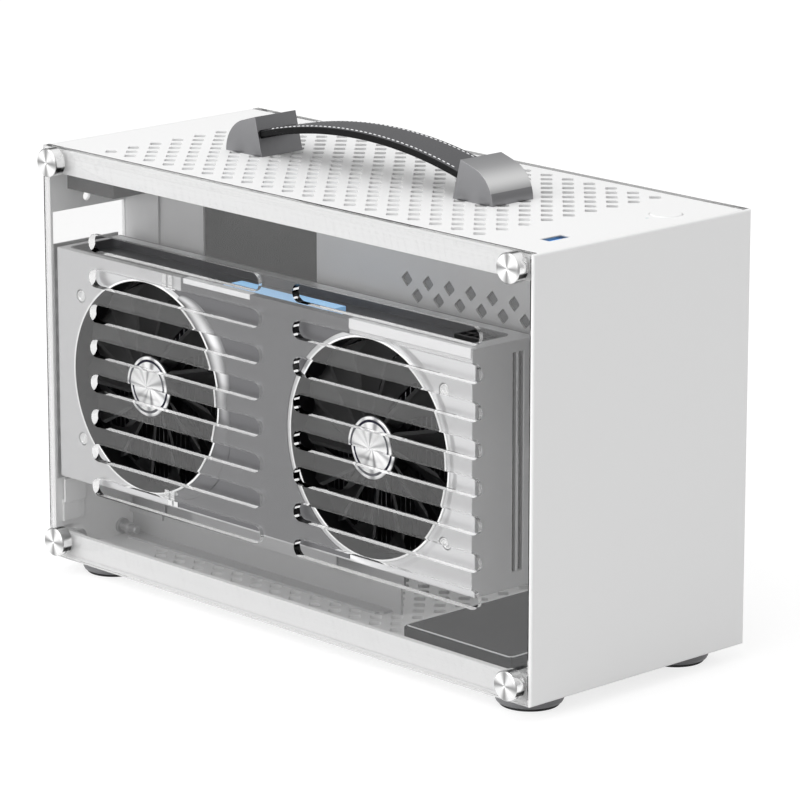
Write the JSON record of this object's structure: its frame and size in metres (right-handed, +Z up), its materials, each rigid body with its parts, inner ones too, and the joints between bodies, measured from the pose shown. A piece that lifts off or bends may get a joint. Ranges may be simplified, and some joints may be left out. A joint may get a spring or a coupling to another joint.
{
  "type": "mini-ITX computer case",
  "caption": "Small desktop computer case with slotted clear side windows, a perforated top, a leather carry handle, round feet and a full-length graphics card inside",
  "frame": {"origin": "middle of the floor under the feet, below the middle of the body", "axes": "+X to the right seen from the front plate, so the graphics card's window faces -X; +Y from the front plate to the rear plate with the ports; +Z up"},
  "size_m": [0.1518, 0.3344, 0.234],
  "materials": {
    "white_aluminium": "fine matt powder coat",
    "grey_steel": "satin sheet metal",
    "clear_acrylic": "clear acrylic sheet with polished slots",
    "polished_screw": "turned and spun",
    "steel_trim": "plain steel",
    "handle_aluminium": "brushed across, grey",
    "handle_leather": "dark grey leather, stitched",
    "foot_plastic": "fine-grained",
    "foot_rubber": "matt",
    "light_pipe": "clear",
    "blue_plastic": "moulded",
    "black_plastic": "moulded",
    "card_housing": "bead-blasted and bright-edged",
    "card_plate": "dark satin",
    "card_light": "diffuser",
    "fan_plastic": "moulded",
    "fin_aluminium": "plain",
    "board_laminate": "solder mask",
    "drive_metal": "dark anodised",
    "pin_brass": "plated"
  },
  "bodies": {
    "case": {"front_panel": "white_aluminium", "rear_panel": "white_aluminium", "top_panel": "white_aluminium", "bottom_panel": "white_aluminium", "corner_lugs": "grey_steel", "rail_top_left": "white_aluminium", "rail_top_right": "white_aluminium", "rail_bottom_left": "white_aluminium", "rail_bottom_right": "white_aluminium", "window_bushes": "steel_trim", "centre_divider": "grey_steel", "divider_rear_angle": "grey_steel", "rear_wall_post": "steel_trim", "feet": "foot_plastic", "foot_pads": "foot_rubber", "foot_screws": "steel_trim", "handle_block_front": "handle_aluminium", "handle_block_rear": "handle_aluminium", "handle_strap": "handle_leather", "handle_screws": "steel_trim", "power_led": "light_pipe", "usb_socket": "steel_trim", "usb_tongue": "blue_plastic", "io_board": "board_laminate", "card_shroud": "card_housing", "card_centre_plate": "card_plate", "card_top_tray": "card_plate", "card_light_bar": "card_light", "card_screws": "steel_trim", "card_fan_bases": "black_plastic", "card_heatsink": "fin_aluminium", "card_board": "board_laminate", "card_backplate": "card_plate", "card_bracket": "steel_trim", "card_power_socket": "black_plastic", "riser_bracket": "grey_steel", "riser_slot": "black_plastic", "solid_state_drive": "drive_metal", "power_inlet": "black_plastic", "inlet_pins": "pin_brass", "motherboard": "board_laminate", "cpu_socket": "steel_trim", "memory_slots": "black_plastic", "io_port_block": "card_plate", "power_supply": "card_plate"},
    "window_left": {"window_left": "clear_acrylic"},
    "thumb_screw_left_top_front": {"thumb_screw_left_top_front": "polished_screw"},
    "thumb_screw_left_top_rear": {"thumb_screw_left_top_rear": "polished_screw"},
    "thumb_screw_left_bottom_front": {"thumb_screw_left_bottom_front": "polished_screw"},
    "thumb_screw_left_bottom_rear": {"thumb_screw_left_bottom_rear": "polished_screw"},
    "window_right": {"window_right": "clear_acrylic"},
    "thumb_screw_right_top_front": {"thumb_screw_right_top_front": "polished_screw"},
    "thumb_screw_right_top_rear": {"thumb_screw_right_top_rear": "polished_screw"},
    "thumb_screw_right_bottom_front": {"thumb_screw_right_bottom_front": "polished_screw"},
    "thumb_screw_right_bottom_rear": {"thumb_screw_right_bottom_rear": "polished_screw"},
    "fan_rear": {"card_fan_rear": "fan_plastic", "card_fan_cap_rear": "card_housing"},
    "fan_front": {"card_fan_front": "fan_plastic", "card_fan_cap_front": "card_housing"},
    "button": {"power_button": "white_aluminium"}
  },
  "joints": [
    {"name": "window_left_slide", "type": "slide", "parent": "case", "child": "window_left", "axis": [-1, 0, 0], "range_m": [0, 0.06]},
    {"name": "thumb_screw_left_top_front_turn", "type": "hinge", "parent": "window_left", "child": "thumb_screw_left_top_front", "pos_m": [-0.0694, -0.1572, 0.206], "axis": [-1, 0, 0], "continuous": true},
    {"name": "thumb_screw_left_top_rear_turn", "type": "hinge", "parent": "window_left", "child": "thumb_screw_left_top_rear", "pos_m": [-0.0694, 0.1572, 0.206], "axis": [-1, 0, 0], "continuous": true},
    {"name": "thumb_screw_left_bottom_front_turn", "type": "hinge", "parent": "window_left", "child": "thumb_screw_left_bottom_front", "pos_m": [-0.0694, -0.1572, 0.0169], "axis": [-1, 0, 0], "continuous": true},
    {"name": "thumb_screw_left_bottom_rear_turn", "type": "hinge", "parent": "window_left", "child": "thumb_screw_left_bottom_rear", "pos_m": [-0.0694, 0.1572, 0.0169], "axis": [-1, 0, 0], "continuous": true},
    {"name": "window_right_slide", "type": "slide", "parent": "case", "child": "window_right", "axis": [1, 0, 0], "range_m": [0, 0.06]},
    {"name": "thumb_screw_right_top_front_turn", "type": "hinge", "parent": "window_right", "child": "thumb_screw_right_top_front", "pos_m": [0.0694, -0.1572, 0.206], "axis": [1, 0, 0], "continuous": true},
    {"name": "thumb_screw_right_top_rear_turn", "type": "hinge", "parent": "window_right", "child": "thumb_screw_right_top_rear", "pos_m": [0.0694, 0.1572, 0.206], "axis": [1, 0, 0], "continuous": true},
    {"name": "thumb_screw_right_bottom_front_turn", "type": "hinge", "parent": "window_right", "child": "thumb_screw_right_bottom_front", "pos_m": [0.0694, -0.1572, 0.0169], "axis": [1, 0, 0], "continuous": true},
    {"name": "thumb_screw_right_bottom_rear_turn", "type": "hinge", "parent": "window_right", "child": "thumb_screw_right_bottom_rear", "pos_m": [0.0694, 0.1572, 0.0169], "axis": [1, 0, 0], "continuous": true},
    {"name": "fan_rear_spin", "type": "hinge", "parent": "case", "child": "fan_rear", "pos_m": [-0.062, 0.0979, 0.1043], "axis": [1, 0, 0], "continuous": true},
    {"name": "fan_front_spin", "type": "hinge", "parent": "case", "child": "fan_front", "pos_m": [-0.062, -0.058, 0.1043], "axis": [1, 0, 0], "continuous": true},
    {"name": "power_button_press", "type": "slide", "parent": "case", "child": "button", "axis": [0, 0, -1], "range_m": [0, 0.0012], "stiffness_N_per_m": 400}
  ]
}
